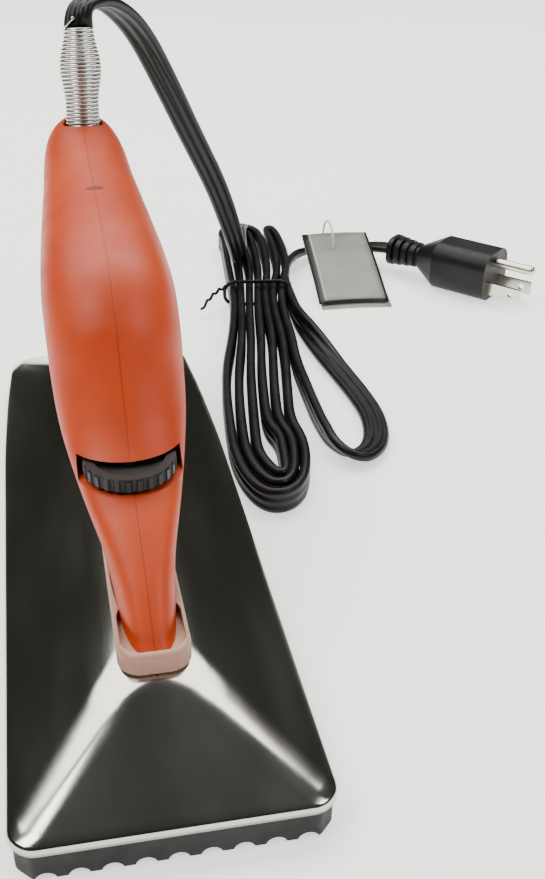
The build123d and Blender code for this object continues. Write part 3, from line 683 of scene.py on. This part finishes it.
# Low colour, high colour, and what differs from a plain surface.
SURFACES = {
    "sole_coating": ((0.005, 0.005, 0.0045), (0.011, 0.011, 0.010),
                     dict(rough=(0.46, 0.62), grain=420, grain_strength=0.25, Specular_IOR_Level=0.3)),
    "element_sheath": ((0.16, 0.12, 0.09), (0.28, 0.25, 0.22),
                       dict(rough=(0.4, 0.6), scale=90, grain=700, metallic=1.0)),
    "ceramic": ((0.74, 0.71, 0.64), (0.84, 0.81, 0.75), dict(rough=(0.55, 0.75), grain=1200)),
    "glass_felt": ((0.62, 0.58, 0.46), (0.78, 0.74, 0.62),
                   dict(scale=200, rough=(0.85, 0.98), grain=2400, grain_strength=0.6, Sheen_Weight=0.3)),
    "wheel_black": ((0.005, 0.005, 0.0055), (0.012, 0.012, 0.0125),
                    dict(rough=(0.36, 0.52), grain=1100, grain_strength=0.2, Specular_IOR_Level=0.35)),
    "fibre_washer": ((0.26, 0.09, 0.05), (0.36, 0.14, 0.08), dict(rough=(0.7, 0.85), grain=900)),
    "resistor_body": ((0.42, 0.32, 0.2), (0.54, 0.42, 0.28), dict(rough=(0.35, 0.5), grain=900)),
    "nylon_white": ((0.68, 0.67, 0.62), (0.78, 0.77, 0.72), dict(rough=(0.4, 0.55), grain=900)),
    "conductor_sleeves": ((0.05, 0.05, 0.05), (0.09, 0.09, 0.09), dict(rough=(0.5, 0.65))),
    "lead_green": ((0.02, 0.13, 0.035), (0.035, 0.19, 0.05), dict(rough=(0.4, 0.55))),
    "lead_white": ((0.62, 0.62, 0.6), (0.72, 0.72, 0.7), dict(rough=(0.4, 0.55))),
    "tag_card": ((0.40, 0.40, 0.37), (0.50, 0.50, 0.46), dict(rough=(0.45, 0.6), grain=1200)),
    "tag_nylon": ((0.78, 0.78, 0.74), (0.88, 0.88, 0.84),
                  dict(rough=(0.25, 0.4), grain=900, grain_strength=0.05)),
}


def slot_materials():
    """One finished material for each material slot of the record."""
    made = {
        "handle_orange": handle_orange(),
        "collar_lens": translucent("collar_finish", (0.52, 0.27, 0.19), (0.64, 0.38, 0.29), (0.26, 0.4), 0.08),
        "lamp_glass": translucent("lamp_finish", (0.85, 0.62, 0.42), (0.95, 0.72, 0.52), (0.04, 0.10), 0.9),
    }
    for slot, values in METALS.items():
        made[slot] = metal(slot + "_finish", *values)
    for slot, values in RUBBERS.items():
        made[slot] = rubber(slot + "_finish", *values)
    for slot, (low, high, differing) in SURFACES.items():
        made[slot] = surface(slot + "_finish", low, high, **differing)
    return made


def dress_nodes():
    materials = slot_materials()
    for part in frame["record"]["subparts"]:
        node = NODES[part["node"]]
        slots = node.data.materials
        wanted = materials[part["material_slot"]]
        if len(slots) == 0:
            slots.append(wanted)
        for index in range(len(slots)):
            slots[index] = wanted


# Front or top point, rear or bottom point (both y, z) and half width of each cross-section, in mm.
STATIONS = [
    ((-93.0, 33.0), (-27.0, 33.0), 8.0),
    ((-79.5, 45.5), (-25.0, 43.0), 10.2),
    ((-67.0, 54.0), (-21.0, 52.0), 13.8),
    ((-55.0, 60.5), (-16.5, 60.0), 16.6),
    ((-43.0, 69.5), (-10.5, 67.0), 18.8),
    ((-33.5, 82.0), (-2.5, 73.5), 19.8),
    ((-26.0, 96.5), (6.0, 78.5), 20.2),
    ((-12.5, 107.5), (15.5, 81.5), 20.4),
    ((7.0, 113.0), (26.0, 83.0), 19.8),
    ((30.0, 116.0), (39.0, 84.0), 18.8),
    ((52.0, 118.4), (54.0, 85.8), 17.6),
    ((72.0, 121.4), (71.0, 88.6), 16.2),
    ((87.0, 124.4), (86.0, 92.4), 15.2),
    ((97.5, 125.0), (97.0, 96.0), 13.8),
    ((103.4, 123.4), (103.0, 99.6), 11.6),
    ((104.9, 121.0), (104.5, 102.4), 9.0),
]
AROUND = 56
FOOT_SQUARENESS = 0.68
ROWS_TO_ROUND = 34


def smooth_stations(steps=8):
    """The stations with smooth ones between them, by a spline through five numbers each."""
    rows = [(*front, *back, half) for front, back, half in STATIONS]
    made = []
    for index in range(len(rows) - 1):
        a, b = rows[max(index - 1, 0)], rows[index]
        c, d = rows[index + 1], rows[min(index + 2, len(rows) - 1)]
        for step in range(steps):
            t = step / steps
            made.append([0.5 * (2 * q + (r - p) * t + (2 * p - 5 * q + 4 * r - u) * t * t
                                + (3 * q - p - 3 * r + u) * t ** 3) for p, q, r, u in zip(a, b, c, d)])
    return made + [list(rows[-1])]


def carve(target, cutters):
    """Cut the closed cutters out of the target's mesh and remove them."""
    for cutter in cutters:
        cut = target.modifiers.new("cut", "BOOLEAN")
        cut.operation = "DIFFERENCE"
        cut.solver = "EXACT"
        cut.object = cutter
    bpy.context.view_layer.update()
    shaped = bpy.data.meshes.new_from_object(target.evaluated_get(bpy.context.evaluated_depsgraph_get()))
    target.modifiers.clear()
    target.data = shaped
    for cutter in cutters:
        bpy.data.objects.remove(cutter)


def slot_cutter():
    """The thumbwheel's slot: a flat round-ended pocket from the front of the post."""
    verts = []
    half_width, middle_y, depth, mouth_y = 15.0, -43.0, 14.5, -90.0
    for z in (59.1, 65.0):
        for index in range(24):
            angle = math.pi * index / 23
            verts.append(Vector((half_width * math.cos(angle), middle_y + depth * math.sin(angle), z)) * MM)
        verts += [Vector((-half_width, mouth_y, z)) * MM, Vector((half_width, mouth_y, z)) * MM]
    count = len(verts) // 2
    faces = [tuple(range(count))[::-1], tuple(range(count, 2 * count))]
    faces += [(k, (k + 1) % count, (k + 1) % count + count, k + count) for k in range(count)]
    return new_object("slot_cutter", verts, faces, smooth=False)


def guard_cutter():
    """A round recess for the guard's foot, along the guard's axis."""
    axis = (GUARD_TIP - GUARD_FOOT).normalized()
    side = axis.cross(Vector((0, 1, 0))).normalized()
    front = axis.cross(side)
    line = [(GUARD_FOOT + axis * along) * MM for along in (-1.0, 30.0)]
    radius = 7.2
    ring = [(side * math.cos(k * math.pi / 20) + front * math.sin(k * math.pi / 20)) * radius * MM
            for k in range(40)]
    return sweep("guard_cutter", line, [ring, ring])


def handle_skin():
    """Both shells' outer surface in one smooth piece, with the wheel's slot and the guard's recess cut in."""
    verts = []
    rings = smooth_stations()
    for row, (front_y, front_z, back_y, back_z, half) in enumerate(rings):
        squareness = FOOT_SQUARENESS + (1 - FOOT_SQUARENESS) * min(row / ROWS_TO_ROUND, 1)
        front, back = Vector((0, front_y, front_z)), Vector((0, back_y, back_z))
        middle, reach = (front + back) / 2, (front - back) / 2
        for index in range(AROUND):
            angle = 2 * math.pi * index / AROUND
            wide = math.copysign(abs(math.cos(angle)) ** squareness, math.cos(angle))
            deep = math.copysign(abs(math.sin(angle)) ** squareness, math.sin(angle))
            verts.append((middle + Vector((half * wide, 0, 0)) + reach * deep) * MM)
    made = new_object("handle_skin", verts, capped_faces(len(rings), AROUND))
    work = bmesh.new()
    work.from_mesh(made.data)
    bmesh.ops.recalc_face_normals(work, faces=work.faces)
    work.to_mesh(made.data)
    work.free()
    carve(made, [slot_cutter(), guard_cutter()])
    for polygon in made.data.polygons:
        polygon.use_smooth = True
    made.data.set_sharp_from_angle(angle=math.radians(40))
    made.data.materials.clear()
    made.data.materials.append(NODES["handle_left_shell"].data.materials[0])
    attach(made, "iron")
    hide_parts("handle_left_shell", "handle_right_shell")


dress_nodes()
handle_skin()


# --- floor and light ----------------------------------------------------------------------------------

def make_stage():
    floor = new_object("floor", [(-5, -5, 0), (5, -5, 0), (5, 5, 0), (-5, 5, 0)], [(0, 1, 2, 3)])
    pale = surface("floor_pale", (0.90, 0.90, 0.885), (0.94, 0.94, 0.93), scale=3, rough=(0.75, 0.85),
                   grain=120, grain_strength=0.02)
    shader = pale.node_tree.nodes["Principled BSDF"]
    shader.inputs["Emission Color"].default_value = (1, 1, 0.985, 1)
    shader.inputs["Emission Strength"].default_value = 1.1
    floor.data.materials.append(pale)
    world = bpy.data.worlds.new("studio")
    world.use_nodes = True
    bpy.context.scene.world = world
    tree = world.node_tree
    background = tree.nodes["Background"]
    place = add(tree, "ShaderNodeTexCoord")
    split = add(tree, "ShaderNodeSeparateXYZ")
    tree.links.new(place.outputs["Generated"], split.inputs["Vector"])
    glow = ramp(tree, split.outputs["Z"], [(0.0, (0.03, 0.03, 0.024)), (0.50, (0.035, 0.034, 0.027)),
                                           (0.80, (0.045, 0.045, 0.038)), (0.97, (0.07, 0.07, 0.062))])
    tree.links.new(glow, background.inputs["Color"])
    background.inputs["Strength"].default_value = 1.2
    for name, place, size, power, colour in (
            ("key", (-0.75, -0.25, 1.25), (0.5, 0.7), 11, (1.0, 0.98, 0.94)),
            ("fill", (0.85, -0.55, 1.0), (0.5, 0.5), 5, (0.95, 0.97, 1.0)),
            ("top", (0.05, 0.85, 1.5), (2.6, 1.2), 52, (1.0, 0.99, 0.95))):
        lamp = bpy.data.lights.new(name, "AREA")
        lamp.shape = "RECTANGLE"
        lamp.energy = power
        lamp.size, lamp.size_y = size
        lamp.color = colour
        holder = bpy.data.objects.new(name, lamp)
        holder.location = place
        aim = Vector((0.04, 0.05, 0.03)) - Vector(place)
        holder.rotation_euler = aim.to_track_quat("-Z", "Y").to_euler()
        bpy.context.collection.objects.link(holder)


make_stage()
bpy.context.view_layer.update()
